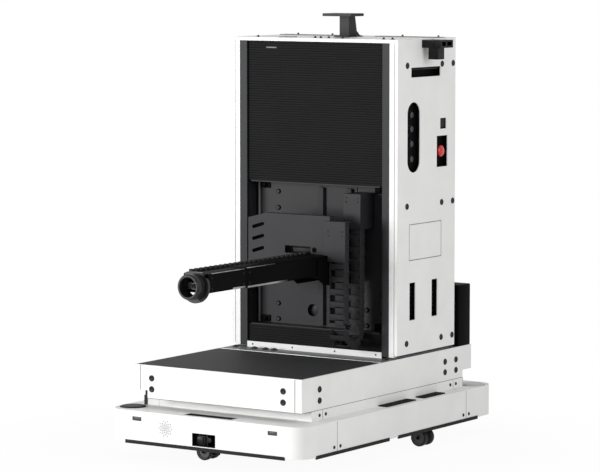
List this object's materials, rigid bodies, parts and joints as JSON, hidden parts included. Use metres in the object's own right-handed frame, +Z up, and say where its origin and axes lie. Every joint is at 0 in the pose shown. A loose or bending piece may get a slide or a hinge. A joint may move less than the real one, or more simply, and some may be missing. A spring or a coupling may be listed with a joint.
{
  "type": "autonomous mobile roll-handling robot",
  "caption": "Low wheeled mobile base with a tall tower whose lift carries a horizontal cantilever arm with a hollow nose, fed by a hanging energy chain",
  "frame": {"origin": "bottom centre of the whole robot's bounding box, on the floor", "axes": "+X to the robot's right, +Y to its rear, +Z up; the arm reaches toward -Y"},
  "size_m": [0.856, 1.462, 1.518],
  "materials": {
    "frame_steel": "powder coat",
    "white_paint": "satin powder coat",
    "black_paint": "satin black",
    "grey_paint": "satin grey",
    "bumper_rubber": "matt",
    "mat_rubber": "matt",
    "sensor_glass": "dark window",
    "black_plastic": "matt",
    "guide_plastic": "matt",
    "bellows_fabric": "coated cloth",
    "rail_steel": "ground",
    "aluminium": "anodised",
    "chain_plastic": "moulded",
    "wheel_tyre": "polyurethane",
    "black_extrusion": "black anodised",
    "red_plastic": "gloss",
    "button_plastic": "gloss"
  },
  "bodies": {
    "chassis": {"chassis_frame": "frame_steel", "chassis_top_plate": "white_paint", "end_covers": "white_paint", "side_skirts": "white_paint", "bumpers": "bumper_rubber", "sensor_windows": "sensor_glass", "recess_sensors": "black_plastic", "corner_scanners": "black_plastic", "battery_pack": "black_plastic", "drive_units": "frame_steel", "lower_band": "white_paint", "deck_frame": "black_paint", "deck_panels": "white_paint", "deck_mat": "mat_rubber", "fasteners": "black_paint", "rear_box": "black_plastic", "tower_base": "grey_paint", "tower_frame": "black_extrusion", "tower_panels": "white_paint", "tower_top": "white_paint", "front_trim": "white_paint", "curtain_guides": "guide_plastic", "upper_bellows": "bellows_fabric", "lower_bellows": "bellows_fabric", "lift_rails": "rail_steel", "lift_drive": "aluminium", "mast_bracket": "black_paint", "side_sensors": "black_plastic", "panel_trays": "black_plastic", "estop_panel": "black_plastic"},
    "carriage": {"carriage_plate": "black_paint", "carriage_guides": "rail_steel", "chain_box": "black_paint", "chain_rear_leg": "chain_plastic"},
    "arm": {"arm_housing": "black_paint", "arm_cover": "black_paint", "arm_root": "black_paint", "arm_beam": "black_paint", "cable_carrier": "chain_plastic", "tip_flange": "black_paint", "nose_ring": "black_paint", "tip_sensor": "grey_paint", "chain_bracket": "black_paint", "chain_front_leg": "chain_plastic"},
    "chain_bend": {"chain_bend": "chain_plastic"},
    "drive_wheel_right": {"drive_wheel_right": "wheel_tyre"},
    "drive_wheel_left": {"drive_wheel_left": "wheel_tyre"},
    "caster_fork_front": {"caster_fork_front": "rail_steel"},
    "caster_wheels_front": {"caster_wheels_front": "wheel_tyre"},
    "caster_fork_right": {"caster_fork_right": "rail_steel"},
    "caster_wheels_right": {"caster_wheels_right": "wheel_tyre"},
    "caster_fork_rear": {"caster_fork_rear": "rail_steel"},
    "caster_wheels_rear": {"caster_wheels_rear": "wheel_tyre"},
    "caster_fork_left": {"caster_fork_left": "rail_steel"},
    "caster_wheels_left": {"caster_wheels_left": "wheel_tyre"},
    "estop_button": {"estop_button": "red_plastic"},
    "push_button_1": {"push_button_1": "button_plastic"},
    "push_button_2": {"push_button_2": "button_plastic"},
    "push_button_3": {"push_button_3": "button_plastic"},
    "push_button_4": {"push_button_4": "button_plastic"}
  },
  "joints": [
    {"name": "lift", "type": "slide", "parent": "chassis", "child": "carriage", "axis": [0, 0, 1], "range_m": [0, 0.44], "deforming": ["upper_bellows", "lower_bellows"]},
    {"name": "arm_stage", "type": "slide", "parent": "carriage", "child": "arm", "axis": [0, 0, 1], "range_m": [0, 0.08], "deforming": ["chain_front_leg", "chain_rear_leg"]},
    {"name": "chain_roll", "type": "slide", "parent": "arm", "child": "chain_bend", "axis": [0, 0, 1], "range_m": [-0.04, 0]},
    {"name": "drive_wheel_right_spin", "type": "hinge", "parent": "chassis", "child": "drive_wheel_right", "pos_m": [0.165, 0.104, 0.075], "axis": [1, 0, 0], "continuous": true},
    {"name": "drive_wheel_left_spin", "type": "hinge", "parent": "chassis", "child": "drive_wheel_left", "pos_m": [-0.165, 0.104, 0.075], "axis": [1, 0, 0], "continuous": true},
    {"name": "caster_fork_front_swivel", "type": "hinge", "parent": "chassis", "child": "caster_fork_front", "pos_m": [-0.068, -0.353, 0.08], "axis": [0, 0, 1], "continuous": true},
    {"name": "caster_wheels_front_spin", "type": "hinge", "parent": "caster_fork_front", "child": "caster_wheels_front", "pos_m": [-0.1, -0.353, 0.0305], "axis": [0, 1, 0], "continuous": true},
    {"name": "caster_fork_right_swivel", "type": "hinge", "parent": "chassis", "child": "caster_fork_right", "pos_m": [0.328, 0.302, 0.08], "axis": [0, 0, 1], "continuous": true},
    {"name": "caster_wheels_right_spin", "type": "hinge", "parent": "caster_fork_right", "child": "caster_wheels_right", "pos_m": [0.36, 0.302, 0.0305], "axis": [0, 1, 0], "continuous": true},
    {"name": "caster_fork_rear_swivel", "type": "hinge", "parent": "chassis", "child": "caster_fork_rear", "pos_m": [0.068, 0.561, 0.08], "axis": [0, 0, 1], "continuous": true},
    {"name": "caster_wheels_rear_spin", "type": "hinge", "parent": "caster_fork_rear", "child": "caster_wheels_rear", "pos_m": [0.1, 0.561, 0.0305], "axis": [0, 1, 0], "continuous": true},
    {"name": "caster_fork_left_swivel", "type": "hinge", "parent": "chassis", "child": "caster_fork_left", "pos_m": [-0.328, -0.094, 0.08], "axis": [0, 0, 1], "continuous": true},
    {"name": "caster_wheels_left_spin", "type": "hinge", "parent": "caster_fork_left", "child": "caster_wheels_left", "pos_m": [-0.36, -0.094, 0.0305], "axis": [0, 1, 0], "continuous": true},
    {"name": "estop_press", "type": "slide", "parent": "chassis", "child": "estop_button", "axis": [-1, 0, 0], "range_m": [0, 0.005]},
    {"name": "push_button_1_press", "type": "slide", "parent": "chassis", "child": "push_button_1", "axis": [-1, 0, 0], "range_m": [0, 0.0025], "stiffness_N_per_m": 400},
    {"name": "push_button_2_press", "type": "slide", "parent": "chassis", "child": "push_button_2", "axis": [-1, 0, 0], "range_m": [0, 0.0025], "stiffness_N_per_m": 400},
    {"name": "push_button_3_press", "type": "slide", "parent": "chassis", "child": "push_button_3", "axis": [-1, 0, 0], "range_m": [0, 0.0025], "stiffness_N_per_m": 400},
    {"name": "push_button_4_press", "type": "slide", "parent": "chassis", "child": "push_button_4", "axis": [-1, 0, 0], "range_m": [0, 0.0025], "stiffness_N_per_m": 400}
  ],
  "couplings": [
    {"joint": "chain_roll", "follows": "arm_stage", "ratio": -0.5}
  ]
}
